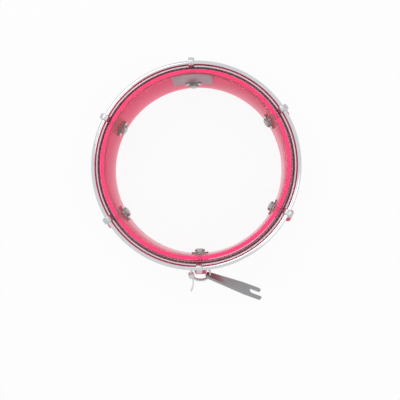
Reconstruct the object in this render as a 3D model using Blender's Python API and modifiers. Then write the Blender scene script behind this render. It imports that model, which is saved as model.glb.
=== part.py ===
"""Tamborim: a small frame drum with a pink acrylic shell, a clear head and six tension hooks.

Metres, +Z up. The origin is the centre of the playing face, and the open rim of the shell is
what the drum stands on. Six stations at 30 + 60 k degrees each carry a hook, a nut with its
washer, a lug with its insert, a bolt and a backing plate. A tuning key hangs on the rod of the
station at -Y in a nylon tie.
"""

import math

import bmesh
import bpy
from mathutils import Matrix, Vector

MM = 0.001

# Driving sizes: shell and head
SHELL_OUTER_R = 75.0 * MM
SHELL_WALL = 3.0 * MM
RIM_DEPTH = 45.0 * MM
EDGE_ROUND = 0.9 * MM
FILM_THICK = 0.3 * MM
FILM_SHOULDER = 1.1 * MM
COLLAR_FLARE = 2.15 * MM
FLESH_TOP = 8.0 * MM
FLESH_HEIGHT = 4.5 * MM
FLESH_LAND = 1.25 * MM
SEAT = 0.3 * MM

# Driving sizes: hoop
HOOP_SHEET = 1.0 * MM
BEAD_R = 1.95 * MM
BEAD_RISE = 3.2 * MM
HOOP_LIP = 1.2 * MM
HOOP_HEIGHT = 11.5 * MM

# Driving sizes: hooks, nuts and washers
HOOK_WIDTH = 4.6 * MM
HOOK_THICK = 2.2 * MM
HOOK_TIP_THICK = 1.6 * MM
HOOK_TIP_ANGLE = math.radians(171)
ROD_R = 2.0 * MM
ROD_END_LIFT = 3.5 * MM
RUN = 0.3 * MM
NUT_AF = 7.0 * MM
NUT_HEIGHT = 3.2 * MM
WASHER_R = 4.1 * MM
WASHER_THICK = 0.8 * MM

# Driving sizes: lugs and their fixings
STATIONS = 6
FIRST_STATION = math.radians(30)
LUG_DEPTH = 28.0 * MM
LUG_PAD_WIDTH = 14.0 * MM
LUG_PAD_HEIGHT = 16.0 * MM
LUG_PAD_THICK = 2.4 * MM
LUG_EAR_WIDTH = 10.0 * MM
LUG_EAR_HEIGHT = 6.6 * MM
LUG_EAR_WALL = 1.1 * MM
LUG_CORNER = 1.6 * MM
BOLT_R = 2.0 * MM
BOLT_HEAD_AF = 7.0 * MM
BOLT_HEAD_HEIGHT = 2.9 * MM
BOLT_REACH = 5.3 * MM
INSERT_R = 3.0 * MM
INSERT_INSET = 0.8 * MM
PLATE_LENGTH = 14.0 * MM
PLATE_HEIGHT = 9.6 * MM
PLATE_TIP = 2.2 * MM
PLATE_THICK = 1.2 * MM

# Driving sizes: badge
BADGE_WIDTH = 33.0 * MM
BADGE_TOP = 2.9 * MM
BADGE_BOTTOM = 28.5 * MM
BADGE_THICK = 0.5 * MM
BADGE_STATION = 1

# Driving sizes: key and tie
KEY_STATION = 4
KEY_THICK = 2.2 * MM
KEY_LENGTH = 47.0 * MM
KEY_EYE_R = 3.4 * MM
KEY_JAW_WIDTH = 13.0 * MM
KEY_JAW_SHOULDER = 31.0 * MM
KEY_SLOT_WIDTH = 7.3 * MM
KEY_SLOT_DEPTH = 10.5 * MM
KEY_TIP_CHAMFER = 1.2 * MM
KEY_EYE_ROOM = 0.5 * MM
TIE_WIDTH = 2.5 * MM
TIE_THICK = 1.1 * MM
TIE_HALF_WIDTH = 8.0 * MM
TIE_HALF_LENGTH = 7.2 * MM
TIE_TILT = math.radians(33)
TIE_HANG = 3.4 * MM
TIE_KEY_AT = math.radians(-25)
TIE_HEAD_AT = math.radians(196)
TIE_HEAD = (4.6 * MM, 4.4 * MM, 4.2 * MM)
TIE_TAIL_LENGTH = 15.0 * MM
FLOOR_GAP = 0.4 * MM

# Facets
RING_STEPS = 66
ROUND_STEPS = 12
HOOK_STEPS = 8
PLATE_STEPS = 8
BADGE_STEPS = 12
TIE_STEPS = 28
MERGE = 0.00001

# Worked out from the driving sizes
SHELL_INNER_R = SHELL_OUTER_R - SHELL_WALL
SHELL_TOP = -(FILM_THICK + SEAT)
FILM_R = SHELL_OUTER_R + SEAT + FILM_THICK
FILM_FOOT_R = FILM_R + COLLAR_FLARE
SLOT_HALF = FILM_THICK / 2 + SEAT
FLESH_MID_R = FILM_FOOT_R - FILM_THICK / 2
FLESH_INNER_R = FLESH_MID_R - SLOT_HALF - FLESH_LAND
FLESH_OUTER_R = FLESH_MID_R + SLOT_HALF + FLESH_LAND
HOOP_FLANGE_Z = -FLESH_TOP + SEAT + HOOP_SHEET
BEAD_MID_R = FLESH_OUTER_R + SEAT + BEAD_R
BEAD_TOP = HOOP_FLANGE_Z + BEAD_RISE - HOOP_SHEET
BEAD_MID_Z = BEAD_TOP - BEAD_R
HOOP_OUTER_R = BEAD_MID_R + BEAD_R
HOOP_FOOT_Z = BEAD_TOP - HOOP_HEIGHT
BEND_R = BEAD_R + RUN + HOOK_THICK / 2
ROD_AXIS_R = BEAD_MID_R + BEND_R
ROD_END_Z = -RIM_DEPTH + ROD_END_LIFT
LUG_BACK_R = SHELL_OUTER_R + SEAT
LUG_END_R = ROD_AXIS_R + ROD_R + RUN + LUG_EAR_WALL
EAR_TOP = -LUG_DEPTH + LUG_EAR_HEIGHT / 2
EAR_FOOT = -LUG_DEPTH - LUG_EAR_HEIGHT / 2
WASHER_TOP = EAR_FOOT - SEAT
NUT_TOP = WASHER_TOP - WASHER_THICK - SEAT
PLATE_OUTER_R = SHELL_INNER_R - SEAT
PLATE_INNER_R = PLATE_OUTER_R - PLATE_THICK
BOLT_SEAT_R = PLATE_INNER_R - SEAT
BOLT_END_R = LUG_BACK_R + BOLT_REACH


def clear_scene():
    """Removes whatever the file starts with."""
    for thing in list(bpy.data.objects):
        bpy.data.objects.remove(thing, do_unlink=True)


def new_collection(name):
    """Makes a collection in the scene."""
    collection = bpy.data.collections.new(name)
    bpy.context.scene.collection.children.link(collection)
    return collection


def finish(name, colour, roughness, metallic=0.0, transmission=0.0):
    """Makes a Principled material."""
    material = bpy.data.materials.new(name)
    material.use_nodes = True
    shader = material.node_tree.nodes["Principled BSDF"]
    shader.inputs["Base Color"].default_value = (*colour, 1.0)
    shader.inputs["Roughness"].default_value = roughness
    shader.inputs["Metallic"].default_value = metallic
    shader.inputs["Transmission Weight"].default_value = transmission
    return material


def loft(name, rings, closed=False):
    """Joins rings of as many points each by quads. An open loft is closed by its two end rings."""
    shape = bmesh.new()
    loops = [[shape.verts.new(point) for point in ring] for ring in rings]
    pairs = list(zip(loops, loops[1:]))
    if closed:
        pairs.append((loops[-1], loops[0]))
    for near, far in pairs:
        for here in range(len(near)):
            after = (here + 1) % len(near)
            shape.faces.new((near[here], near[after], far[after], far[here]))
    if not closed:
        shape.faces.new(loops[0])
        shape.faces.new(loops[-1])
    bmesh.ops.recalc_face_normals(shape, faces=shape.faces)
    mesh = bpy.data.meshes.new(name)
    shape.to_mesh(mesh)
    shape.free()
    return mesh


def profile_mesh(name, points, closed):
    """Makes a wire profile in the XZ plane from (radius, height) pairs."""
    count = len(points)
    edges = [(here, here + 1) for here in range(count - 1)]
    if closed:
        edges.append((count - 1, 0))
    mesh = bpy.data.meshes.new(name)
    mesh.from_pydata([(radius, 0.0, height) for radius, height in points], edges, [])
    return mesh


def add_object(name, mesh, material, collection, matrix=None):
    """Links a mesh as a named object."""
    piece = bpy.data.objects.new(name, mesh)
    collection.objects.link(piece)
    if material is not None:
        mesh.materials.clear()
        mesh.materials.append(material)
    if matrix is not None:
        piece.matrix_world = matrix
    return piece


def add_screw(piece):
    """Turns a profile about +Z."""
    screw = piece.modifiers.new("turn", "SCREW")
    screw.axis = "Z"
    screw.angle = math.tau
    screw.steps = RING_STEPS
    screw.render_steps = RING_STEPS
    screw.use_merge_vertices = True
    screw.merge_threshold = MERGE
    screw.use_normal_calculate = False


def add_solidify(piece, thickness):
    """Gives an open surface its sheet thickness on the inner side."""
    sheet = piece.modifiers.new("sheet", "SOLIDIFY")
    sheet.thickness = thickness
    sheet.offset = -1.0
    sheet.use_even_offset = True


def add_boolean(piece, other, operation="DIFFERENCE"):
    """Cuts a piece by another object, or joins the other to it."""
    boolean = piece.modifiers.new(operation.lower(), "BOOLEAN")
    boolean.operation = operation
    boolean.solver = "EXACT"
    boolean.object = other


def apply_modifiers(piece):
    """Keeps the evaluated mesh, smooth where the angle between faces is small."""
    bpy.context.view_layer.update()
    graph = bpy.context.evaluated_depsgraph_get()
    mesh = bpy.data.meshes.new_from_object(piece.evaluated_get(graph))
    mesh.name = piece.name
    piece.modifiers.clear()
    piece.data = mesh
    smooth_mesh(mesh)


def smooth_mesh(mesh):
    """Shades a mesh smooth, apart from its real edges."""
    mesh.shade_smooth()
    mesh.set_sharp_from_angle(angle=math.radians(32))


def make_cutter(name, mesh, cutters, matrix=None):
    """Adds an object that only cuts or joins others."""
    cutter = add_object(name, mesh, None, cutters, matrix)
    cutter.hide_render = True
    cutter.display_type = "WIRE"
    return cutter


def circle(radius, count=ROUND_STEPS):
    """Points on a circle, in the plane of the first two coordinates."""
    turn = math.tau / count
    return [(radius * math.cos(turn * k), radius * math.sin(turn * k)) for k in range(count)]


def hexagon(across_flats):
    """Twelve points on a hexagon: its corners and the middles of its sides."""
    points = []
    for k in range(12):
        reach = across_flats / 2 if k % 2 else across_flats / math.sqrt(3)
        points.append((reach * math.cos(math.pi * k / 6), reach * math.sin(math.pi * k / 6)))
    return points


def rounded_rectangle(width, height, corner):
    """Twelve points on a rectangle with round corners, centred on the origin."""
    corner = min(corner, width / 2, height / 2)
    points = []
    for quarter in range(4):
        middle_x = (width / 2 - corner) * (1 if quarter in (0, 3) else -1)
        middle_y = (height / 2 - corner) * (1 if quarter in (0, 1) else -1)
        for step in range(3):
            angle = math.pi / 2 * (quarter + step / 2)
            points.append((middle_x + corner * math.cos(angle), middle_y + corner * math.sin(angle)))
    return points


def upright(points, height):
    """Lays a flat ring of points at a height."""
    return [(x, y, height) for x, y in points]


def radial(points, distance):
    """Stands a flat ring of points across the +X direction at a distance."""
    return [(distance, x, y) for x, y in points]


def station_angle(index):
    """The angle of one of the stations round the drum, counted from 0."""
    return FIRST_STATION + math.tau / STATIONS * index


def station_turn(index):
    """Turns a piece that is built at +X to its station."""
    return Matrix.Rotation(station_angle(index), 4, "Z")


def arc_points(middle, radius, start, end, steps):
    """Points on an arc in the profile's plane, both ends included."""
    points = []
    for step in range(steps + 1):
        angle = start + (end - start) * step / steps
        points.append((middle[0] + radius * math.cos(angle), middle[1] + radius * math.sin(angle)))
    return points


# Shell, head and hoops


def build_shell(parts, cutters, material):
    """The acrylic tube: round bearing edge outside, bevelled foot, and a bolt hole per station."""
    foot = -RIM_DEPTH
    bevel = EDGE_ROUND / 2
    edge_middle = (SHELL_OUTER_R - EDGE_ROUND, SHELL_TOP - EDGE_ROUND)
    profile = arc_points(edge_middle, EDGE_ROUND, math.pi / 2, 0.0, 3)
    profile += [(SHELL_OUTER_R, foot + bevel), (SHELL_OUTER_R - bevel, foot)]
    profile += [(SHELL_INNER_R + bevel, foot), (SHELL_INNER_R, foot + bevel)]
    profile += [(SHELL_INNER_R, SHELL_TOP - bevel), (SHELL_INNER_R + bevel, SHELL_TOP)]
    shell = add_object("shell", profile_mesh("shell", profile, True), material, parts)
    add_screw(shell)
    hole = loft("bolt_hole", [radial(circle(BOLT_R + RUN), SHELL_INNER_R - SHELL_WALL),
                              radial(circle(BOLT_R + RUN), SHELL_OUTER_R + SHELL_WALL)])
    for index in range(STATIONS):
        matrix = station_turn(index) @ Matrix.Translation((0, 0, -LUG_DEPTH))
        add_boolean(shell, make_cutter(f"bolt_hole_{index + 1}", hole, cutters, matrix))
    apply_modifiers(shell)
    return shell


def build_film(parts, material):
    """The clear head: a flat disc, a round shoulder and a flared collar down into its hoop."""
    shoulder = (FILM_R - FILM_SHOULDER, -FILM_SHOULDER)
    path = [(0.0, 0.0)]
    path += arc_points(shoulder, FILM_SHOULDER, math.pi / 2, 0.0, 3)
    path += [(FILM_FOOT_R, -FLESH_TOP + SEAT), (FILM_FOOT_R, -FLESH_TOP - FLESH_HEIGHT / 2)]
    film = add_object("head_film", profile_mesh("head_film", path, False), material, parts)
    add_screw(film)
    add_solidify(film, FILM_THICK)
    apply_modifiers(film)
    return film


def build_flesh_hoop(parts, material):
    """The channel that holds the film's edge, open at its top."""
    top = -FLESH_TOP
    foot = top - FLESH_HEIGHT
    floor = foot + FLESH_LAND
    bevel = FLESH_LAND / 2
    profile = [(FLESH_OUTER_R, top), (FLESH_OUTER_R, foot + bevel), (FLESH_OUTER_R - bevel, foot),
               (FLESH_INNER_R + bevel, foot), (FLESH_INNER_R, foot + bevel), (FLESH_INNER_R, top),
               (FLESH_MID_R - SLOT_HALF, top), (FLESH_MID_R - SLOT_HALF, floor),
               (FLESH_MID_R + SLOT_HALF, floor), (FLESH_MID_R + SLOT_HALF, top)]
    hoop = add_object("flesh_hoop", profile_mesh("flesh_hoop", profile, True), material, parts)
    add_screw(hoop)
    apply_modifiers(hoop)
    return hoop


def build_hoop(parts, material):
    """The rolled hoop: a lip that presses on the flesh hoop, a round bead and a plain skirt."""
    bead = (BEAD_MID_R, BEAD_MID_Z)
    path = [(BEAD_MID_R - BEAD_R - HOOP_LIP, HOOP_FLANGE_Z), (BEAD_MID_R - BEAD_R, HOOP_FLANGE_Z)]
    path += arc_points(bead, BEAD_R, math.pi, 0.0, 5)
    path += [(HOOP_OUTER_R, HOOP_FOOT_Z)]
    hoop = add_object("hoop", profile_mesh("hoop", path, False), material, parts)
    add_screw(hoop)
    add_solidify(hoop, HOOP_SHEET)
    apply_modifiers(hoop)
    return hoop


def build_badge(parts, material):
    """A thin curved plate on the inner wall, cut away round the backing plate below it."""
    outer = SHELL_INNER_R - SEAT
    inner = outer - BADGE_THICK
    half_angle = BADGE_WIDTH / SHELL_INNER_R / 2
    rings = []
    for step in range(BADGE_STEPS + 1):
        angle = half_angle * (2 * step / BADGE_STEPS - 1)
        foot = -BADGE_BOTTOM
        along = angle * PLATE_OUTER_R
        if abs(along) < PLATE_LENGTH / 2 + SEAT:
            foot = max(foot, -LUG_DEPTH + plate_half_height(along) + 2 * SEAT)
        rings.append([(reach * math.cos(angle), reach * math.sin(angle), height)
                      for reach, height in ((outer, foot), (outer, -BADGE_TOP),
                                            (inner, -BADGE_TOP), (inner, foot))])
    mesh = loft("badge_plate", rings)
    smooth_mesh(mesh)
    return add_object("badge_plate", mesh, material, parts, station_turn(BADGE_STATION))


# Pieces of a station


def hook_mesh():
    """A J hook: flat strip over the bead, then a round rod, with a chamfered end."""
    bend = (BEAD_MID_R, BEAD_MID_Z)
    corner = HOOK_THICK * 0.36
    rings = []
    for step in range(HOOK_STEPS + 1):
        angle = HOOK_TIP_ANGLE * (1 - step / HOOK_STEPS)
        share = step / HOOK_STEPS
        thick = HOOK_TIP_THICK + (HOOK_THICK - HOOK_TIP_THICK) * min(1.0, 3 * share)
        across = Vector((math.cos(angle), 0, math.sin(angle)))
        reach = BEND_R - (HOOK_THICK - thick) / 2
        centre = Vector((bend[0], 0, bend[1])) + across * reach
        section = rounded_rectangle(thick, HOOK_WIDTH, corner)
        rings.append([centre + across * x + Vector((0, y, 0)) for x, y in section])
    strip_end = HOOP_FOOT_Z - 2 * RUN
    neck = 2 * ROD_R
    rod_section = rounded_rectangle(2 * ROD_R, 2 * ROD_R, ROD_R)
    tip_section = rounded_rectangle(1.4 * ROD_R, 1.4 * ROD_R, ROD_R)
    strip_section = rounded_rectangle(HOOK_THICK, HOOK_WIDTH, corner)
    for section, height in ((strip_section, strip_end), (rod_section, strip_end - neck),
                            (rod_section, ROD_END_Z + 0.3 * ROD_R), (tip_section, ROD_END_Z)):
        rings.append([(ROD_AXIS_R + x, y, height) for x, y in section])
    mesh = loft("tension_hook", rings)
    smooth_mesh(mesh)
    return mesh


def nut_mesh():
    """A hex nut with chamfered faces, its top at the origin."""
    face = circle(NUT_AF * 0.47)
    flats = hexagon(NUT_AF)
    bore = circle(ROD_R + RUN)
    chamfer = NUT_HEIGHT * 0.12
    rings = [upright(bore, 0), upright(face, 0), upright(flats, -chamfer),
             upright(flats, chamfer - NUT_HEIGHT), upright(face, -NUT_HEIGHT), upright(bore, -NUT_HEIGHT)]
    mesh = loft("tuning_nut", rings, closed=True)
    smooth_mesh(mesh)
    return mesh


def washer_mesh():
    """A plain washer, its top at the origin."""
    rim = circle(WASHER_R, 16)
    bore = circle(ROD_R + RUN, 16)
    rings = [upright(bore, 0), upright(rim, 0), upright(rim, -WASHER_THICK), upright(bore, -WASHER_THICK)]
    mesh = loft("rod_washer", rings, closed=True)
    smooth_mesh(mesh)
    return mesh


def lug_mesh(cutters):
    """A moulded lug: a wide pad on the shell that draws in to an ear with the rod's hole."""
    pad_r = LUG_BACK_R + LUG_PAD_THICK
    neck_r = pad_r + (ROD_AXIS_R - pad_r) * 0.42
    nose = LUG_CORNER
    slim = 0.55
    mid_width = LUG_EAR_WIDTH + (LUG_PAD_WIDTH - LUG_EAR_WIDTH) * 0.3
    mid_height = LUG_EAR_HEIGHT + (LUG_PAD_HEIGHT - LUG_EAR_HEIGHT) * 0.3
    stations = [(LUG_BACK_R - SHELL_WALL / 2, LUG_PAD_WIDTH, LUG_PAD_HEIGHT),
                (pad_r - 0.5 * nose, LUG_PAD_WIDTH, LUG_PAD_HEIGHT),
                (pad_r, LUG_PAD_WIDTH - nose, LUG_PAD_HEIGHT - nose),
                ((pad_r + neck_r) / 2, mid_width, mid_height),
                (neck_r, LUG_EAR_WIDTH, LUG_EAR_HEIGHT),
                (LUG_END_R - nose, LUG_EAR_WIDTH, LUG_EAR_HEIGHT),
                (LUG_END_R, LUG_EAR_WIDTH - 2 * nose * slim, LUG_EAR_HEIGHT - nose * slim)]
    rings = [radial(rounded_rectangle(width, height, LUG_CORNER), distance)
             for distance, width, height in stations]
    lug = add_object("lug_blank", loft("lug_blank", rings), None, cutters,
                     Matrix.Translation((0, 0, -LUG_DEPTH)))
    wall = loft("lug_seat", [upright(circle(LUG_BACK_R, RING_STEPS), height)
                             for height in (-RIM_DEPTH, 0.0)])
    add_boolean(lug, make_cutter("lug_seat", wall, cutters))
    rod_hole = loft("rod_hole", [upright(circle(ROD_R + RUN), height)
                                 for height in (-RIM_DEPTH, 0.0)])
    add_boolean(lug, make_cutter("rod_hole", rod_hole, cutters, Matrix.Translation((ROD_AXIS_R, 0, 0))))
    pocket = loft("insert_pocket", [radial(circle(INSERT_R + SEAT), distance)
                                    for distance in (SHELL_INNER_R, BOLT_END_R + SEAT)])
    add_boolean(lug, make_cutter("insert_pocket", pocket, cutters, Matrix.Translation((0, 0, -LUG_DEPTH))))
    apply_modifiers(lug)
    mesh = lug.data
    mesh.transform(lug.matrix_world)
    bpy.data.objects.remove(lug, do_unlink=True)
    return mesh


def insert_mesh():
    """The threaded insert, a short tube in the lug's pocket."""
    near = LUG_BACK_R + INSERT_INSET
    far = BOLT_END_R
    rim = circle(INSERT_R)
    bore = circle(BOLT_R + RUN)
    rings = [radial(bore, near), radial(rim, near), radial(rim, far), radial(bore, far)]
    return loft("lug_insert", rings, closed=True)


def bolt_mesh():
    """A hex bolt along +X, its domed head inside the shell and its shank out into the insert."""
    head = BOLT_SEAT_R - BOLT_HEAD_HEIGHT
    shank = circle(BOLT_R)
    flats = hexagon(BOLT_HEAD_AF)
    rings = [radial(circle(BOLT_HEAD_AF * 0.3), head), radial(circle(BOLT_HEAD_AF * 0.46), head + 0.4 * MM),
             radial(flats, head + 0.9 * MM), radial(flats, BOLT_SEAT_R), radial(shank, BOLT_SEAT_R),
             radial(shank, BOLT_END_R - BOLT_R / 3), radial(circle(BOLT_R * 0.7), BOLT_END_R)]
    mesh = loft("lug_bolt", rings)
    smooth_mesh(mesh)
    return mesh


def plate_half_height(along):
    """Half the height of the lens-shaped backing plate at a distance along it."""
    share = min(1.0, abs(2 * along / PLATE_LENGTH))
    return PLATE_TIP / 2 + (PLATE_HEIGHT - PLATE_TIP) / 2 * (1 - share ** 1.7)


def backing_plate_mesh(cutters):
    """A lens-shaped plate bent to the inner wall, with a bolt hole."""
    rings = []
    for step in range(PLATE_STEPS + 1):
        along = PLATE_LENGTH * (step / PLATE_STEPS - 0.5)
        angle = along / PLATE_OUTER_R
        half = plate_half_height(along)
        corners = ((PLATE_OUTER_R, -half), (PLATE_OUTER_R, half), (PLATE_INNER_R, half), (PLATE_INNER_R, -half))
        rings.append([(reach * math.cos(angle), reach * math.sin(angle), height)
                      for reach, height in corners])
    plate = add_object("backing_plate_blank", loft("backing_plate_blank", rings), None, cutters)
    hole = loft("plate_hole", [radial(circle(BOLT_R + RUN), distance)
                               for distance in (PLATE_INNER_R - PLATE_THICK, PLATE_OUTER_R + PLATE_THICK)])
    add_boolean(plate, make_cutter("plate_hole", hole, cutters))
    apply_modifiers(plate)
    mesh = plate.data
    bpy.data.objects.remove(plate, do_unlink=True)
    return mesh


def build_stations(parts, cutters, looks):
    """Puts one of each small piece at every station."""
    level = Matrix.Translation((0, 0, -LUG_DEPTH))
    on_rod = Matrix.Translation((ROD_AXIS_R, 0, 0))
    pieces = (
        ("tension_hook", hook_mesh(), looks["chrome"], Matrix()),
        ("rod_washer", washer_mesh(), looks["zinc"], on_rod @ Matrix.Translation((0, 0, WASHER_TOP))),
        ("tuning_nut", nut_mesh(), looks["zinc"], on_rod @ Matrix.Translation((0, 0, NUT_TOP))),
        ("lug", lug_mesh(cutters), looks["lug"], Matrix()),
        ("lug_insert", insert_mesh(), looks["brass"], level),
        ("lug_bolt", bolt_mesh(), looks["zinc"], level),
        ("backing_plate", backing_plate_mesh(cutters), looks["zinc"], level),
    )
    for name, mesh, material, place in pieces:
        for index in range(STATIONS):
            add_object(f"{name}_{index + 1}", mesh, material, parts, station_turn(index) @ place)


# Key and tie


class TieFrame:
    """Where the tie's loop lies: an ellipse in a plane that falls away from the drum."""

    def __init__(self):
        outward = Vector((math.cos(station_angle(KEY_STATION)), math.sin(station_angle(KEY_STATION)), 0))
        self.side = Vector((-outward.y, outward.x, 0))
        down = Vector((0, 0, -1))
        self.front = outward * math.cos(TIE_TILT) + down * math.sin(TIE_TILT)
        self.normal = self.side.cross(self.front).normalized()
        lean = TIE_THICK / 2 * math.cos(TIE_TILT) + TIE_WIDTH / 2 * math.sin(TIE_TILT)
        back_r = ROD_AXIS_R - ROD_R - RUN - lean
        back_z = EAR_TOP + TIE_HANG
        back = outward * back_r + Vector((0, 0, back_z))
        self.middle = back + self.front * TIE_HALF_LENGTH
        self.rod = outward * ROD_AXIS_R

    def point(self, angle):
        """A point of the loop's centre line. Angle 0 is to the side, -90 degrees is the front."""
        return (self.middle + self.side * (TIE_HALF_WIDTH * math.cos(angle))
                - self.front * (TIE_HALF_LENGTH * math.sin(angle)))

    def tangent(self, angle):
        """The direction of the loop at that point."""
        return (self.side * (-TIE_HALF_WIDTH * math.sin(angle))
                - self.front * (TIE_HALF_LENGTH * math.cos(angle))).normalized()

    def section(self, centre, along, width, thick):
        """A rectangle across the strap."""
        across = along.cross(self.normal).normalized()
        face = across.cross(along).normalized()
        return [centre + across * (sx * thick / 2) + face * (sy * width / 2)
                for sx, sy in ((1, 1), (-1, 1), (-1, -1), (1, -1))]


def build_tie(parts, cutters, material):
    """The nylon tie: its loop, its locking head and its free tail, in one piece."""
    frame = TieFrame()
    rings = []
    for step in range(TIE_STEPS):
        angle = math.tau * step / TIE_STEPS
        rings.append(frame.section(frame.point(angle), frame.tangent(angle), TIE_WIDTH, TIE_THICK))
    tie = add_object("key_tie", loft("key_tie", rings, closed=True), material, parts)

    place = frame.point(TIE_HEAD_AT)
    along = frame.tangent(TIE_HEAD_AT)
    across = along.cross(frame.normal).normalized()
    long, wide, tall = TIE_HEAD
    head_rings = []
    for share, slim in ((-0.5, 0.8), (-0.35, 1.0), (0.35, 1.0), (0.5, 0.8)):
        section = rounded_rectangle(wide * slim, tall * slim, 0.2 * tall)
        head_rings.append([place + along * (long * share) + across * x + frame.normal * y for x, y in section])
    add_boolean(tie, make_cutter("tie_head", loft("tie_head", head_rings), cutters), "UNION")

    tail_rings = []
    outward = frame.rod.normalized()
    leave = along * 0.9 + outward * 0.4
    turn = outward * 0.8 - frame.side * 0.55 + Vector((0, 0, -0.25))
    steps = 5
    point = place + across * 0.25 * TIE_THICK
    for step in range(steps + 1):
        share = step / steps
        heading = (leave.normalized() * (1 - share) + turn.normalized() * share).normalized()
        slim = 1.0 if step < steps else 0.6
        tail_rings.append(frame.section(point, heading, TIE_WIDTH * slim, TIE_THICK * 0.82))
        point = point + heading * (TIE_TAIL_LENGTH / steps)
    add_boolean(tie, make_cutter("tie_tail", loft("tie_tail", tail_rings), cutters), "UNION")
    apply_modifiers(tie)
    return tie


def key_axes():
    """The key's directions: along it, across it and through it, and the centre of its eye."""
    frame = TieFrame()
    eye = frame.point(TIE_KEY_AT)
    through = frame.tangent(TIE_KEY_AT)
    if through.z < 0:
        through = -through
    level = Vector((through.y, -through.x, 0)).normalized()
    upward = level.cross(through)
    if upward.z < 0:
        upward = -upward
    room = (eye.z + RIM_DEPTH - FLOOR_GAP - KEY_THICK / 2 * through.z) / upward.z
    reach = math.hypot(KEY_LENGTH, KEY_JAW_WIDTH / 2)
    droop = math.asin(max(-1.0, min(1.0, room / reach))) - math.atan2(KEY_JAW_WIDTH / 2, KEY_LENGTH)
    along = level * math.cos(droop) - upward * math.sin(droop)
    across = upward * math.cos(droop) + level * math.sin(droop)
    return eye, along, across, along.cross(across)


def key_outline():
    """The key's outline: a round eye end that widens to a pair of jaws, and its slot."""
    half = KEY_JAW_WIDTH / 2
    slot = KEY_SLOT_WIDTH / 2
    root = KEY_LENGTH - KEY_SLOT_DEPTH
    chamfer = KEY_TIP_CHAMFER
    lean = math.asin((half - KEY_EYE_R) / KEY_JAW_SHOULDER)
    points = arc_points((0.0, 0.0), KEY_EYE_R, math.pi / 2 + lean, 3 * math.pi / 2 - lean, 8)
    points += [(KEY_JAW_SHOULDER, -half), (KEY_LENGTH - chamfer, -half), (KEY_LENGTH, chamfer - half)]
    points += [(KEY_LENGTH, -slot - chamfer / 3), (KEY_LENGTH - chamfer / 3, -slot)]
    points += arc_points((root + slot * 0.6, -slot * 0.4), slot * 0.6, 3 * math.pi / 2, math.pi, 3)
    points += arc_points((root + slot * 0.6, slot * 0.4), slot * 0.6, math.pi, math.pi / 2, 3)
    points += [(KEY_LENGTH - chamfer / 3, slot), (KEY_LENGTH, slot + chamfer / 3)]
    points += [(KEY_LENGTH, half - chamfer), (KEY_LENGTH - chamfer, half), (KEY_JAW_SHOULDER, half)]
    return points


def build_key(parts, material):
    """The tuning key, a flat plate cut from its outline, hung by its eye on the tie."""
    curve = bpy.data.curves.new("tuning_key_outline", "CURVE")
    curve.dimensions = "2D"
    curve.fill_mode = "BOTH"
    curve.extrude = KEY_THICK / 2
    for outline in (key_outline(), circle(TIE_WIDTH / 2 + KEY_EYE_ROOM)):
        spline = curve.splines.new("POLY")
        spline.points.add(len(outline) - 1)
        for point, (x, y) in zip(spline.points, outline):
            point.co = (x, y, 0.0, 1.0)
        spline.use_cyclic_u = True
    blank = bpy.data.objects.new("tuning_key_outline", curve)
    parts.objects.link(blank)
    bpy.context.view_layer.update()
    graph = bpy.context.evaluated_depsgraph_get()
    mesh = bpy.data.meshes.new_from_object(blank.evaluated_get(graph))
    bpy.data.objects.remove(blank, do_unlink=True)
    shape = bmesh.new()
    shape.from_mesh(mesh)
    bmesh.ops.remove_doubles(shape, verts=shape.verts, dist=MERGE)
    bmesh.ops.recalc_face_normals(shape, faces=shape.faces)
    shape.to_mesh(mesh)
    shape.free()
    mesh.name = "tuning_key"
    smooth_mesh(mesh)
    eye, along, across, through = key_axes()
    matrix = Matrix((along, across, through)).transposed().to_4x4()
    matrix.translation = eye
    return add_object("tuning_key", mesh, material, parts, matrix)


def main():
    """Builds the whole drum."""
    clear_scene()
    parts = new_collection("tamborim")
    cutters = new_collection("cutters")
    looks = {
        "acrylic": finish("pink acrylic", (1.0, 0.06, 0.22), 0.06, transmission=0.9),
        "film": finish("clear film", (0.95, 0.96, 0.97), 0.05, transmission=0.95),
        "aluminium": finish("crimped aluminium", (0.55, 0.5, 0.52), 0.35, metallic=1.0),
        "chrome": finish("chrome plate", (0.8, 0.8, 0.82), 0.06, metallic=1.0),
        "zinc": finish("bright zinc", (0.55, 0.57, 0.56), 0.25, metallic=1.0),
        "brass": finish("brass", (0.75, 0.55, 0.25), 0.3, metallic=1.0),
        "lug": finish("pink lug moulding", (1.0, 0.06, 0.2), 0.2, transmission=0.3),
        "badge": finish("grey pink badge", (0.42, 0.24, 0.28), 0.35),
        "key": finish("pressed steel", (0.35, 0.35, 0.36), 0.3, metallic=1.0),
        "nylon": finish("natural nylon", (0.8, 0.8, 0.77), 0.35, transmission=0.4),
    }
    build_shell(parts, cutters, looks["acrylic"])
    build_film(parts, looks["film"])
    build_flesh_hoop(parts, looks["aluminium"])
    build_hoop(parts, looks["chrome"])
    build_stations(parts, cutters, looks)
    build_badge(parts, looks["badge"])
    build_tie(parts, cutters, looks["nylon"])
    build_key(parts, looks["key"])


main()
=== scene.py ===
"""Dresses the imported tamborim: finishes, finer pieces, floor, light and camera."""

from __future__ import annotations

import logging
import math
from dataclasses import dataclass
from enum import Enum

import bmesh
import bpy
from mathutils import Matrix, Vector


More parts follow.
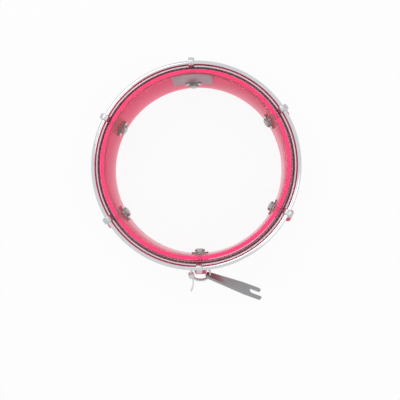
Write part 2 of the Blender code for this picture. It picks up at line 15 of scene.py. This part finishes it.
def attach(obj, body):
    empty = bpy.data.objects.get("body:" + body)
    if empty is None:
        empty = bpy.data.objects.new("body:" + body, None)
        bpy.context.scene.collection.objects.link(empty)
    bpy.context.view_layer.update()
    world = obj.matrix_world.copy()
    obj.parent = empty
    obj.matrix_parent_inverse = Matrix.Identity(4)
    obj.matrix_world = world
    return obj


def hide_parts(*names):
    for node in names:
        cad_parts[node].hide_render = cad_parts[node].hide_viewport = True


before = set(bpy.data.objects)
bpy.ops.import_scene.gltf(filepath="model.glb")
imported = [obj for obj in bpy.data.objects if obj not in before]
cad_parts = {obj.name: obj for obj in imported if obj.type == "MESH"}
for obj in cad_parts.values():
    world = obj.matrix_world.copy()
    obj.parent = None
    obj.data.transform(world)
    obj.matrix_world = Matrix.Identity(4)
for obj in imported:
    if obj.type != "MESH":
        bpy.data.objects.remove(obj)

LOG = logging.getLogger("tamborim")
MM = 0.001
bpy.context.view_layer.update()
Point = tuple[float, float]
Place = tuple[float, float, float]
Node = bpy.types.ShaderNode
Socket = bpy.types.NodeSocket
WHITE = (1.0, 1.0, 1.0, 1.0)

# The drum: how many tension hooks it has, and sizes that more than one piece shares
STATIONS = 6
SHELL_TOP = -0.6 * MM
SHELL_FOOT = -45.0 * MM
BEAD_MIDDLE = (81.55 * MM, -6.45 * MM)

# Surface noise: fine grain, and broad clouds that vary the gloss. Nearly all of it lies in the span
GRAIN_DETAIL = 4.0
CLOUD_DETAIL = 2.0
CLOUD_SIZE = 14.0 * MM
NOISE_SPAN = (0.3, 0.7)
# How sharp an edge is where its plating starts to rub bright, and where it is rubbed fully
WORN_SPAN = (0.5, 0.56)
BUMP_STRENGTH = 0.6
# How far below the tube's upper edge its painted glow starts and is full, and how far up it fades at the
# foot
PAINTED_GLOW_START = 0.8 * MM
PAINTED_GLOW_FULL = 0.1 * MM
PAINTED_GLOW_FADE = 0.7 * MM
SMOOTH_ENDS = {"interpolation_type": "SMOOTHSTEP"}

# Meshes: the least angle of a real edge, shaded and bevelled, and the faces across a bevel
SHARP_DEGREES = 32.0
BEVEL_DEGREES = 40.0
BEVEL_FACES = 2
# The most that a mitred corner may lengthen an offset, as the cosine it is divided by
LEAST_MITRE = 0.5


class Body(Enum):
    """The CAD bodies that the finer pieces ride on."""

    SHELL = "shell_body"
    HEAD = "head_assembly"


class Slot(Enum):
    """The record's material slots."""

    ACRYLIC = "acrylic"
    FILM = "film"
    FLESH_HOOP = "flesh_hoop"
    CHROME = "chrome"


def linear(code: str) -> tuple[float, float, float, float]:
    """Turns an sRGB hex colour to linear.

    Args:
        code: six hex digits after a hash sign.

    Returns:
        Red, green, blue and alpha.
    """
    parts = [int(code[k:k + 2], 16) / 255 for k in (1, 3, 5)]
    curve = [part / 12.92 if part <= 0.04045 else ((part + 0.055) / 1.055) ** 2.4 for part in parts]
    return (curve[0], curve[1], curve[2], 1.0)


def add_node(tree: bpy.types.NodeTree, kind: str, settings: dict | None = None,
             inputs: dict | None = None) -> Node:
    """Adds a node with its settings and links.

    Args:
        tree: the node tree.
        kind: the node's type.
        settings: its properties by name.
        inputs: values or other nodes' output sockets by input name or number.

    Returns:
        The new node.
    """
    node = tree.nodes.new(kind)
    for name, value in (settings or {}).items():
        setattr(node, name, value)
    for name, value in (inputs or {}).items():
        if isinstance(value, bpy.types.NodeSocket):
            tree.links.new(value, node.inputs[name])
        else:
            node.inputs[name].default_value = value
    return node


@dataclass(frozen=True)
class Finish:
    """One real finish: its colours, gloss and surface detail, with sizes in millimetres, and any painted
    glow.
    """

    name: str
    colour: str
    second: str
    roughness: float
    rough_spread: float = 0.06
    metallic: float = 0.0
    transmission: float = 0.0
    ior: float = 1.5
    alpha: float = 1.0
    grain_mm: float = 1.0
    stretch: Place = (1.0, 1.0, 1.0)
    bump_mm: float = 0.01
    coat: float = 0.0
    specular: float = 0.5
    # Painted light: emission on a tube's cut edges and faintly on its walls, in place of light piped
    # through it
    painted_glow_colour: str = "#000000"
    painted_glow_strength: float = 0.0
    painted_glow_walls: float = 0.0
    painted_glow_edges: tuple[float, float] = (0.0, 0.0)
    wear: float = 0.0

    def material(self) -> bpy.types.Material:
        """Makes the material.

        Returns:
            A Principled material with grain in its colour, roughness and bump, and a painted glow where it
            has one.
        """
        made = bpy.data.materials.new(self.name)
        made.use_nodes = True
        tree = made.node_tree
        shader = tree.nodes["Principled BSDF"]
        place = add_node(tree, "ShaderNodeTexCoord").outputs["Object"]
        stretched = add_node(tree, "ShaderNodeMapping", inputs={"Vector": place, "Scale": self.stretch})
        grain = add_node(tree, "ShaderNodeTexNoise", inputs={
            "Vector": stretched.outputs[0], "Scale": 1.0 / (self.grain_mm * MM), "Detail": GRAIN_DETAIL})
        clouds = add_node(tree, "ShaderNodeTexNoise", inputs={
            "Vector": place, "Scale": 1.0 / CLOUD_SIZE, "Detail": CLOUD_DETAIL})
        self.add_colour(tree, shader, grain.outputs["Fac"])
        rough = add_node(tree, "ShaderNodeMapRange", SMOOTH_ENDS, {
            "Value": clouds.outputs["Fac"], "From Min": NOISE_SPAN[0], "From Max": NOISE_SPAN[1],
            "To Min": max(0.0, self.roughness - self.rough_spread),
            "To Max": self.roughness + self.rough_spread})
        tree.links.new(rough.outputs["Result"], shader.inputs["Roughness"])
        bump = add_node(tree, "ShaderNodeBump", inputs={
            "Strength": BUMP_STRENGTH, "Distance": self.bump_mm * MM, "Height": grain.outputs["Fac"]})
        tree.links.new(bump.outputs["Normal"], shader.inputs["Normal"])
        constants = {"Metallic": self.metallic, "Transmission Weight": self.transmission,
                     "Alpha": self.alpha, "Coat Weight": self.coat, "Specular IOR Level": self.specular}
        if self.metallic == 0.0:
            constants["IOR"] = self.ior
        for name, value in constants.items():
            shader.inputs[name].default_value = value
        # Painted glow: emission on the tube's edges and walls, though the tube is no lamp
        if self.painted_glow_strength > 0.0:
            self.add_painted_glow(tree, shader, place)
        return made

    def add_colour(self, tree: bpy.types.NodeTree, shader: Node, grain: Socket) -> None:
        """Mixes the two colours by the grain, and shows the second on worn edges.

        Args:
            tree: the material's tree.
            shader: its shader.
            grain: the fine noise.
        """
        share = add_node(tree, "ShaderNodeMapRange", SMOOTH_ENDS, {
            "Value": grain, "From Min": NOISE_SPAN[0], "From Max": NOISE_SPAN[1]}).outputs["Result"]
        if self.wear > 0.0:
            edge = add_node(tree, "ShaderNodeNewGeometry").outputs["Pointiness"]
            worn = add_node(tree, "ShaderNodeMapRange", SMOOTH_ENDS, {
                "Value": edge, "From Min": WORN_SPAN[0], "From Max": WORN_SPAN[1], "To Max": self.wear})
            both = add_node(tree, "ShaderNodeMath", {"operation": "MAXIMUM"},
                            {0: share, 1: worn.outputs["Result"]})
            share = both.outputs[0]
        mix = add_node(tree, "ShaderNodeMix", {"data_type": "RGBA"},
                       {0: share, 6: linear(self.colour), 7: linear(self.second)})
        tree.links.new(mix.outputs[2], shader.inputs["Base Color"])

    def add_painted_glow(self, tree: bpy.types.NodeTree, shader: Node, place: Socket) -> None:
        """Paints light on the cut edges of a dyed tube as emission, in place of the light they pipe to
        their ends, with a faint painted glow on its walls.

        Args:
            tree: the material's tree.
            shader: its shader.
            place: the object coordinates.
        """
        # The painted glow is emission by height: full at the upper and lower cut edges, faint on the walls
        # between
        height = add_node(tree, "ShaderNodeSeparateXYZ", inputs={0: place}).outputs["Z"]
        upper, lower = self.painted_glow_edges
        top = add_node(tree, "ShaderNodeMapRange", SMOOTH_ENDS, {
            "Value": height, "From Min": upper - PAINTED_GLOW_START, "From Max": upper - PAINTED_GLOW_FULL,
            "To Min": self.painted_glow_walls, "To Max": self.painted_glow_strength})
        foot = add_node(tree, "ShaderNodeMapRange", SMOOTH_ENDS, {
            "Value": height, "From Min": lower, "From Max": lower + PAINTED_GLOW_FADE,
            "To Min": self.painted_glow_strength, "To Max": 0.0})
        both = add_node(tree, "ShaderNodeMath", {"operation": "ADD"},
                        {0: top.outputs["Result"], 1: foot.outputs["Result"]})
        shader.inputs["Emission Color"].default_value = linear(self.painted_glow_colour)
        tree.links.new(both.outputs[0], shader.inputs["Emission Strength"])


# Every grain is drawn at 0.5 mm or more, because the real ones are too fine to show in the render

# Cast acrylic, polished: clear pink, with a painted glow that makes its cut edges brighter than its walls.
# Its IOR is lowered from
# 1.49 and its specular level to 0, so that its walls mirror the pale floor as faintly as the real ones
ACRYLIC = Finish("polished_cast_acrylic_pink", "#E01A60", "#EC246A", 0.05, 0.02, transmission=0.78,
                 ior=1.13, specular=0.0, grain_mm=40.0, bump_mm=0.02, painted_glow_colour="#FF1478", painted_glow_strength=0.45,
                 painted_glow_walls=0.02, painted_glow_edges=(SHELL_TOP, SHELL_FOOT))
# Polyester film, drawn: almost unseen, with a faint milky sheen
FILM = Finish("drawn_polyester_film_clear", "#F4F5F6", "#FFFFFF", 0.12, 0.05, alpha=0.04, grain_mm=9.0,
              bump_mm=0.02)
# Aluminium channel, crimped: hatched by its crimps, with a painted pink reflection of the shell beside it
# in its colour. It is less metallic than aluminium, to keep that painted pink
CRIMPED_PAINTED_PINK = Finish("crimped_aluminium_painted_pink", "#9A6070", "#D2B4BC", 0.4, 0.1, metallic=0.2, grain_mm=0.9,
                 bump_mm=0.05)
# Chrome plate on rolled steel, polished: a mirror, as pale as the white room around it
CHROME = Finish("polished_chrome_plate", "#D2D3D6", "#CDCED1", 0.06, 0.01, metallic=1.0, grain_mm=5.0,
                bump_mm=0.002)
# Chrome plate on bent rod, less polished: softer and a little greyer than the hoop
HOOK_CHROME = Finish("satin_chrome_plate", "#D2D4D6", "#B4B7BA", 0.38, 0.05, metallic=0.85, grain_mm=1.5,
                     bump_mm=0.01)
# Bright zinc plate on turned steel: cool grey, slightly green and soft
ZINC = Finish("bright_zinc_plate", "#8E9591", "#B9C0BC", 0.24, 0.08, metallic=1.0, grain_mm=0.8,
              bump_mm=0.02, wear=0.6)
# Brass, turned: warm yellow with fine tool marks
BRASS = Finish("turned_brass", "#B58A45", "#D1AA62", 0.3, 0.08, metallic=1.0, grain_mm=0.6, bump_mm=0.02)
# Polycarbonate, moulded: glossy translucent pink with a light orange-peel surface
LUG_PINK = Finish("moulded_polycarbonate_pink", "#FF2C74", "#FF4488", 0.2, 0.06, transmission=0.15,
                  ior=1.58, grain_mm=2.2, bump_mm=0.03, coat=0.3)
# Anodised foil plate, satin: grey pink, fine brushed lines
BADGE = Finish("satin_anodised_plate", "#8E626E", "#AC828E", 0.38, 0.08, metallic=0.2, grain_mm=0.5,
               stretch=(0.15, 0.15, 4.0), bump_mm=0.015, wear=0.5)
# Pressed steel, dull plated: mid grey with rolled grain and brighter rubbed edges
STEEL = Finish("pressed_plated_steel", "#77787A", "#9B9C9E", 0.33, 0.08, metallic=1.0, grain_mm=0.7,
               stretch=(0.3, 2.5, 2.5), bump_mm=0.03, wear=0.9)
# Nylon, moulded natural: milky white that lets some light into it
NYLON = Finish("moulded_natural_nylon", "#ECECE9", "#F6F6F4", 0.36, 0.08, transmission=0.08, ior=1.53,
               grain_mm=1.2, bump_mm=0.02)


def offset_path(path: list[Point], distance: float) -> list[Point]:
    """Moves an open path to its right side.

    Args:
        path: (radius, height) pairs.
        distance: how far.

    Returns:
        The moved path.
    """
    moved = []
    for index, point in enumerate(path):
        before = path[max(index - 1, 0)]
        after = path[min(index + 1, len(path) - 1)]
        first = Vector((point[0] - before[0], point[1] - before[1]))
        last = Vector((after[0] - point[0], after[1] - point[1]))
        first = (first if first.length > 0 else last).normalized()
        last = (last if last.length > 0 else first).normalized()
        middle = (first + last).normalized()
        side = Vector((middle.y, -middle.x)) / max(LEAST_MITRE, middle.dot(first))
        moved.append((point[0] + side.x * distance, point[1] + side.y * distance))
    return moved


def arc(middle: Point, radius: float, start: float, end: float, steps: int) -> list[Point]:
    """Points on an arc.

    Args:
        middle: its centre.
        radius: its radius.
        start: first angle in radians.
        end: last angle in radians.
        steps: how many chords.

    Returns:
        The points, both ends included.
    """
    angles = [start + (end - start) * step / steps for step in range(steps + 1)]
    return [(middle[0] + radius * math.cos(a), middle[1] + radius * math.sin(a)) for a in angles]


def loft(name: str, rings: list[list[Vector]], closed: bool) -> bpy.types.Object:
    """Joins rings of points into a smooth shaded piece.

    Args:
        name: the piece's name.
        rings: as many points in each.
        closed: whether the last ring meets the first, or both get an end face.

    Returns:
        The new object.
    """
    shape = bmesh.new()
    loops = [[shape.verts.new(point) for point in ring] for ring in rings]
    pairs = list(zip(loops, loops[1:])) + ([(loops[-1], loops[0])] if closed else [])
    for near, far in pairs:
        for here in range(len(near)):
            after = (here + 1) % len(near)
            shape.faces.new((near[here], near[after], far[after], far[here]))
    if not closed:
        shape.faces.new(list(reversed(loops[0])))
        shape.faces.new(loops[-1])
    bmesh.ops.recalc_face_normals(shape, faces=shape.faces)
    mesh = bpy.data.meshes.new(name)
    shape.to_mesh(mesh)
    shape.free()
    smooth(mesh)
    piece = bpy.data.objects.new(name, mesh)
    bpy.context.scene.collection.objects.link(piece)
    return piece


def smooth(mesh: bpy.types.Mesh, degrees: float = SHARP_DEGREES) -> None:
    """Shades a mesh smooth, apart from its real edges.

    Args:
        mesh: the mesh.
        degrees: the least angle of a real edge.
    """
    mesh.shade_smooth()
    mesh.set_sharp_from_angle(angle=math.radians(degrees))


def revolve(name: str, profile: list[Point], steps: int, wave: float = 0.0, teeth: int = 0,
            waved: tuple[int, ...] = ()) -> bpy.types.Object:
    """Turns a closed profile about +Z.

    Args:
        name: the piece's name.
        profile: (radius, height) pairs.
        steps: how many sections.
        wave: height of crimps on some of the points.
        teeth: how many crimps.
        waved: the profile points that the crimps move.

    Returns:
        The new object.
    """
    rings = []
    for step in range(steps):
        angle = math.tau * step / steps
        lift = wave * math.cos(angle * teeth)
        ring = []
        for index, (radius, height) in enumerate(profile):
            drop = lift - wave if index in waved else 0.0
            ring.append(Vector((radius * math.cos(angle), radius * math.sin(angle), height + drop)))
        rings.append(ring)
    return loft(name, rings, True)


def dress(piece: bpy.types.Object, material: bpy.types.Material) -> None:
    """Gives a piece one material.

    Args:
        piece: a new piece or a CAD node.
        material: its finish.
    """
    if not piece.data.materials:
        piece.data.materials.append(material)
    for slot in piece.material_slots:
        slot.material = material


def soften(piece: bpy.types.Object, width: float) -> None:
    """Rounds the real edges of a piece with a small bevel.

    Args:
        piece: the piece.
        width: the bevel's width.
    """
    bevel = piece.modifiers.new("edge", "BEVEL")
    bevel.width = width
    bevel.segments = BEVEL_FACES
    bevel.limit_method = "ANGLE"
    bevel.angle_limit = math.radians(BEVEL_DEGREES)
    bevel.harden_normals = True


@dataclass
class ShellTube:
    """The acrylic tube."""

    outer: float = 75.0 * MM
    inner: float = 72.0 * MM
    edge: float = 0.9 * MM
    edge_steps: int = 6
    bevel: float = 0.45 * MM
    bevel_steps: int = 3
    steps: int = 240

    def build(self, finish: bpy.types.Material) -> str:
        """Makes the tube with a polished round edge.

        Args:
            finish: its acrylic.

        Returns:
            The piece's name.
        """
        quarter = math.pi / 2
        outer_foot = (self.outer - self.bevel, SHELL_FOOT + self.bevel)
        inner_foot = (self.inner + self.bevel, SHELL_FOOT + self.bevel)
        inner_top = (self.inner + self.bevel, SHELL_TOP - self.bevel)
        profile = arc((self.outer - self.edge, SHELL_TOP - self.edge), self.edge, quarter, 0.0,
                      self.edge_steps)
        profile += arc(outer_foot, self.bevel, 0.0, -quarter, self.bevel_steps)
        profile += arc(inner_foot, self.bevel, -quarter, -math.pi, self.bevel_steps)
        profile += arc(inner_top, self.bevel, math.pi, quarter, self.bevel_steps)
        piece = revolve("shell_tube", profile, self.steps)
        dress(piece, finish)
        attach(piece, Body.SHELL.value)
        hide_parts("shell")
        return piece.name


@dataclass
class HeadFilm:
    """The clear head and its collar."""

    radius: float = 75.6 * MM
    thick: float = 0.3 * MM
    shoulder: float = 1.1 * MM
    shoulder_steps: int = 6
    foot_radius: float = 77.75 * MM
    fold: float = -7.7 * MM
    foot: float = -10.25 * MM
    hole: float = 0.4 * MM
    hole_reach: float = 1.0 * MM
    level_slack: float = 0.05 * MM
    steps: int = 240

    def build(self, finish: bpy.types.Material) -> str:
        """Makes the film as one closed sheet.

        Args:
            finish: its film.

        Returns:
            The piece's name.
        """
        path = [(self.hole, 0.0), (self.radius / 2, 0.0)]
        path += arc((self.radius - self.shoulder, -self.shoulder), self.shoulder, math.pi / 2, 0.0,
                    self.shoulder_steps)
        path += [(self.foot_radius, self.fold), (self.foot_radius, self.foot)]
        profile = path + list(reversed(offset_path(path, self.thick)))
        piece = revolve("drawn_head", profile, self.steps)
        self.close_hole(piece.data)
        dress(piece, finish)
        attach(piece, Body.HEAD.value)
        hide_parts("head_film")
        return piece.name

    def close_hole(self, mesh: bpy.types.Mesh) -> None:
        """Draws the small hole that turning leaves in the middle together, on both faces.

        Args:
            mesh: the film's mesh.
        """
        shape = bmesh.new()
        shape.from_mesh(mesh)
        for level in (0.0, -self.thick):
            near = [v for v in shape.verts if math.hypot(v.co.x, v.co.y) < self.hole_reach
                    and abs(v.co.z - level) < self.level_slack]
            bmesh.ops.pointmerge(shape, verts=near, merge_co=(0.0, 0.0, level))
        bmesh.ops.recalc_face_normals(shape, faces=shape.faces)
        shape.to_mesh(mesh)
        shape.free()


@dataclass
class FleshHoop:
    """The crimped channel that grips the film."""

    inner: float = 75.9 * MM
    outer: float = 79.3 * MM
    slot_inner: float = 77.15 * MM
    slot_outer: float = 78.05 * MM
    top: float = -8.0 * MM
    foot: float = -12.5 * MM
    floor: float = -11.25 * MM
    corner: float = 0.6 * MM
    crimp: float = 0.3 * MM
    teeth: int = 168
    sections_per_tooth: int = 4
    # The points of the profile along the channel's top, which the crimps press down
    crimped: tuple[int, ...] = (0, 1, 6, 7, 8, 11)

    def build(self, finish: bpy.types.Material) -> str:
        """Makes the channel with a crimp about every 2.9 mm.

        Args:
            finish: its aluminium.

        Returns:
            The piece's name.
        """
        corner = self.corner
        profile = [(self.outer - corner / 2, self.top), (self.outer, self.top - corner / 2),
                   (self.outer, self.foot + corner), (self.outer - corner, self.foot),
                   (self.inner + corner, self.foot), (self.inner, self.foot + corner),
                   (self.inner, self.top - corner / 2), (self.inner + corner / 2, self.top),
                   (self.slot_inner, self.top), (self.slot_inner, self.floor),
                   (self.slot_outer, self.floor), (self.slot_outer, self.top)]
        piece = revolve("crimped_channel", profile, self.teeth * self.sections_per_tooth, self.crimp,
                        self.teeth, self.crimped)
        dress(piece, finish)
        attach(piece, Body.HEAD.value)
        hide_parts("flesh_hoop")
        return piece.name


@dataclass
class RolledHoop:
    """The chromed hoop: lip, bead and skirt."""

    bead: float = 1.95 * MM
    bead_steps: int = 14
    # The angle in radians between the lip and the start of the bead
    bead_open: float = 0.12
    lip_radius: float = 78.4 * MM
    lip_height: float = -6.7 * MM
    foot: float = -16.0 * MM
    sheet: float = 1.0 * MM
    edge: float = 0.25 * MM
    steps: int = 240

    def build(self, finish: bpy.types.Material) -> str:
        """Makes the hoop from its rolled sheet.

        Args:
            finish: its chrome.

        Returns:
            The piece's name.
        """
        path = [(self.lip_radius, self.lip_height), (BEAD_MIDDLE[0] - self.bead, self.lip_height)]
        path += arc(BEAD_MIDDLE, self.bead, math.pi - self.bead_open, 0.0, self.bead_steps)
        path += [(BEAD_MIDDLE[0] + self.bead, self.foot)]
        profile = path + list(reversed(offset_path(path, self.sheet)))
        piece = revolve("rolled_hoop", profile, self.steps)
        soften(piece, self.edge)
        dress(piece, finish)
        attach(piece, Body.HEAD.value)
        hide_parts("hoop")
        return piece.name


@dataclass
class TensionHook:
    """One J hook: a flat strip over the hoop that turns into a round rod with rings for its thread."""

    index: int
    bend: float = 3.35 * MM
    bend_steps: int = 24
    thick: float = 2.2 * MM
    width: float = 4.6 * MM
    tip_thick: float = 1.6 * MM
    tip_angle: float = math.radians(171)
    # The tip's end face is this much smaller than the strip
    tip_share: float = 0.86
    # The strip is at its full thickness after 1/taper of the bend
    taper: float = 3.0
    strip_end: float = -16.6 * MM
    strip_power: float = 5.0
    neck: float = 4.0 * MM
    neck_steps: int = 6
    axis_radius: float = 84.9 * MM
    rod: float = 2.0 * MM
    rod_power: float = 2.0
    thread_top: float = -24.0 * MM
    thread_depth: float = 0.25 * MM
    pitch: float = 0.7 * MM
    plain_end: float = 0.5 * MM
    foot: float = -41.5 * MM
    # The rod's end face is this share of the rod's width
    foot_share: float = 0.7
    sides: int = 24
    sharp_degrees: float = 50.0

    def section(self, across: float, along: float, power: float) -> list[Point]:
        """A rounded section, from a round one at power 2 to a flat one above it.

        Args:
            across: full size across the strip's thickness.
            along: full size along its width.
            power: how square it is.

        Returns:
            Its points.
        """
        points = []
        for side in range(self.sides):
            angle = math.tau * side / self.sides
            reach = [math.copysign(abs(f(angle)) ** (2 / power), f(angle)) for f in (math.cos, math.sin)]
            points.append((across / 2 * reach[0], along / 2 * reach[1]))
        return points

    def bend_rings(self) -> list[list[Vector]]:
        """Sections of the strip along its bend over the hoop.

        Returns:
            Their points, from the tip outwards.
        """
        rings = []
        for step in range(self.bend_steps + 1):
            share = step / self.bend_steps
            angle = self.tip_angle * (1 - share)
            thick = self.tip_thick + (self.thick - self.tip_thick) * min(1.0, self.taper * share)
            across = Vector((math.cos(angle), 0, math.sin(angle)))
            reach = self.bend - (self.thick - thick) / 2
            size = self.tip_share if step == 0 else 1.0
            centre = Vector((BEAD_MIDDLE[0], 0, BEAD_MIDDLE[1])) + across * reach
            rings.append([centre + across * x + Vector((0, y, 0))
                          for x, y in self.section(thick * size, self.width * size, self.strip_power)])
        return rings

    def rod_rings(self) -> list[list[Vector]]:
        """Sections of the strip's end, of the neck where it turns round, and of the threaded rod.

        Returns:
            Their points, from the top down.
        """
        full = 2 * self.rod
        levels = [(self.strip_end, self.thick, self.width, self.strip_power)]
        for step in range(1, self.neck_steps + 1):
            share = step / self.neck_steps
            ease = share * share * (3 - 2 * share)
            levels.append((self.strip_end - self.neck * share,
                           self.thick + (full - self.thick) * ease,
                           self.width + (full - self.width) * ease,
                           self.strip_power + (self.rod_power - self.strip_power) * ease))
        levels.append((self.thread_top, full, full, self.rod_power))
        height = self.thread_top
        root = full - 2 * self.thread_depth
        while height - self.pitch > self.foot + self.plain_end:
            levels.append((height - self.pitch / 2, root, root, self.rod_power))
            levels.append((height - self.pitch, full, full, self.rod_power))
            height -= self.pitch
        levels.append((self.foot, self.foot_share * full, self.foot_share * full, self.rod_power))
        return [[Vector((self.axis_radius + x, y, height)) for x, y in self.section(thick, width, power)]
                for height, thick, width, power in levels]

    def build(self, finish: bpy.types.Material) -> str:
        """Makes the hook.

        Args:
            finish: its chrome.

        Returns:
            The piece's name.
        """
        piece = loft(f"hook_{self.index}", self.bend_rings() + self.rod_rings(), False)
        smooth(piece.data, self.sharp_degrees)
        turn = math.radians(360 / STATIONS * (self.index - 0.5))
        piece.data.transform(Matrix.Rotation(turn, 4, "Z"))
        dress(piece, finish)
        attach(piece, Body.HEAD.value)
        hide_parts(f"tension_hook_{self.index}")
        return piece.name


@dataclass
class CarriedNodes:
    """CAD nodes whose shape is right: they keep it and get their finish and softened edges."""

    kind: str
    edge: float
    count: int = STATIONS

    def build(self, finish: bpy.types.Material) -> str:
        """Dresses the nodes.

        Args:
            finish: their material.

        Returns:
            Their names.
        """
        numbered = [f"{self.kind}_{number}" for number in range(1, self.count + 1)]
        names = numbered if self.count > 1 else [self.kind]
        for name in names:
            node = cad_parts[name]
            dress(node, finish)
            soften(node, self.edge)
        return ", ".join(names)


@dataclass
class Studio:
    """Floor, light and camera."""

    eye: Place = (23.1 * MM, -47.2 * MM, 383.2 * MM)
    aim: Place = (3.1 * MM, -28.6 * MM, 0.0)
    up: Place = (0.0405, 0.9981, 0.0458)
    focal_px: float = 495.0
    image_px: int = 400
    # The sensor's width in the camera's own millimetres
    sensor_width: float = 36.0
    nearest: float = 10.0 * MM
    floor: float = -45.2 * MM
    floor_width: float = 6.0
    floor_paint: str = "#F2F2F2"
    # How much of the floor is plain white to the rays that see white; the rest keeps the shadow
    floor_white: float = 0.94
    room: float = 0.6
    key_place: Place = (-0.35, 0.5, 0.8)
    key_width: float = 0.5
    key_energy: float = 2.2
    fill_place: Place = (0.6, -0.3, 0.7)
    fill_width: float = 0.6
    fill_share: float = 0.6

    def build(self) -> None:
        """Makes all of it."""
        self.add_floor()
        self.add_world()
        self.add_lamp("key_light", self.key_place, self.key_width, self.key_energy)
        self.add_lamp("fill_light", self.fill_place, self.fill_width, self.key_energy * self.fill_share)
        self.add_camera()
        bpy.context.scene.view_settings.view_transform = "Standard"

    def rays_that_see_white(self, tree: bpy.types.NodeTree) -> Socket:
        """Picks out camera, reflected and transmitted rays, so metal and glass show the white too.

        Args:
            tree: the floor's or the world's tree.

        Returns:
            A socket that is 1 for those rays and 0 for the rest.
        """
        rays = add_node(tree, "ShaderNodeLightPath").outputs
        seen = rays["Is Camera Ray"]
        for kind in ("Is Glossy Ray", "Is Transmission Ray"):
            either = add_node(tree, "ShaderNodeMath", {"operation": "MAXIMUM"}, {0: seen, 1: rays[kind]})
            seen = either.outputs[0]
        return seen

    def add_floor(self) -> None:
        """Lays a pale floor that the camera sees as white, apart from the shadow."""
        bpy.ops.mesh.primitive_plane_add(size=self.floor_width, location=(0.0, 0.0, self.floor))
        plane = bpy.context.object
        plane.name = "floor"
        made = bpy.data.materials.new("pale_floor")
        made.use_nodes = True
        tree = made.node_tree
        tree.nodes.clear()
        paint = add_node(tree, "ShaderNodeBsdfDiffuse", inputs={"Color": linear(self.floor_paint)})
        white = add_node(tree, "ShaderNodeEmission", inputs={"Color": WHITE, "Strength": 1.0})
        share = add_node(tree, "ShaderNodeMath", {"operation": "MULTIPLY"},
                         {0: self.rays_that_see_white(tree), 1: self.floor_white})
        mix = add_node(tree, "ShaderNodeMixShader",
                       inputs={0: share.outputs[0], 1: paint.outputs[0], 2: white.outputs[0]})
        add_node(tree, "ShaderNodeOutputMaterial", inputs={"Surface": mix.outputs[0]})
        plane.data.materials.append(made)

    def add_world(self) -> None:
        """Makes a white room, which metal and glass show too."""
        world = bpy.data.worlds.new("studio_room")
        bpy.context.scene.world = world
        world.use_nodes = True
        tree = world.node_tree
        tree.nodes.clear()
        room = add_node(tree, "ShaderNodeBackground", inputs={"Color": WHITE, "Strength": self.room})
        white = add_node(tree, "ShaderNodeBackground", inputs={"Color": WHITE, "Strength": 1.0})
        mix = add_node(tree, "ShaderNodeMixShader", inputs={
            0: self.rays_that_see_white(tree), 1: room.outputs[0], 2: white.outputs[0]})
        add_node(tree, "ShaderNodeOutputWorld", inputs={"Surface": mix.outputs[0]})

    def add_lamp(self, name: str, place: Place, width: float, energy: float) -> None:
        """Hangs a soft square lamp that faces the drum.

        Args:
            name: its name.
            place: where it hangs.
            width: its side.
            energy: its power in watts.
        """
        data = bpy.data.lights.new(name, "AREA")
        data.size = width
        data.energy = energy
        lamp = bpy.data.objects.new(name, data)
        lamp.location = place
        lamp.rotation_euler = Vector(place).to_track_quat("Z", "Y").to_euler()
        bpy.context.scene.collection.objects.link(lamp)

    def add_camera(self) -> None:
        """Sets the camera at the photograph's viewing angle."""
        data = bpy.data.cameras.new("camera")
        data.sensor_width = self.sensor_width
        data.sensor_fit = "HORIZONTAL"
        data.lens = self.sensor_width * self.focal_px / self.image_px
        data.clip_start = self.nearest
        camera = bpy.data.objects.new("camera", data)
        back = (Vector(self.eye) - Vector(self.aim)).normalized()
        right = Vector(self.up).cross(back).normalized()
        top = back.cross(right)
        matrix = Matrix((right, top, back)).transposed().to_4x4()
        matrix.translation = Vector(self.eye)
        camera.matrix_world = matrix
        bpy.context.scene.collection.objects.link(camera)
        bpy.context.scene.camera = camera


def main() -> None:
    """Builds the studio and every piece in order."""
    logging.basicConfig(level=logging.INFO, format="%(message)s")
    Studio().build()
    chrome = CHROME.material()
    zinc = ZINC.material()
    hook_chrome = HOOK_CHROME.material()
    pieces = [
        (ShellTube(), ACRYLIC.material()),
        (HeadFilm(), FILM.material()),
        # The channel's pink is a painted reflection of the shell, not the aluminium's own colour
        (FleshHoop(), CRIMPED_PAINTED_PINK.material()),
        (RolledHoop(), chrome),
    ]
    pieces += [(TensionHook(index), hook_chrome) for index in range(1, STATIONS + 1)]
    pieces += [
        (CarriedNodes("tuning_nut", edge=0.15 * MM), zinc),
        (CarriedNodes("rod_washer", edge=0.12 * MM), zinc),
        (CarriedNodes("lug", edge=0.3 * MM), LUG_PINK.material()),
        (CarriedNodes("lug_insert", edge=0.15 * MM), BRASS.material()),
        (CarriedNodes("lug_bolt", edge=0.12 * MM), zinc),
        (CarriedNodes("backing_plate", edge=0.2 * MM), zinc),
        (CarriedNodes("badge_plate", edge=0.12 * MM, count=1), BADGE.material()),
        (CarriedNodes("tuning_key", edge=0.25 * MM, count=1), STEEL.material()),
        (CarriedNodes("key_tie", edge=0.15 * MM, count=1), NYLON.material()),
    ]
    for piece, finish in pieces:
        LOG.info("%s: %s", type(piece).__name__, piece.build(finish))


if __name__ == "__main__":
    main()
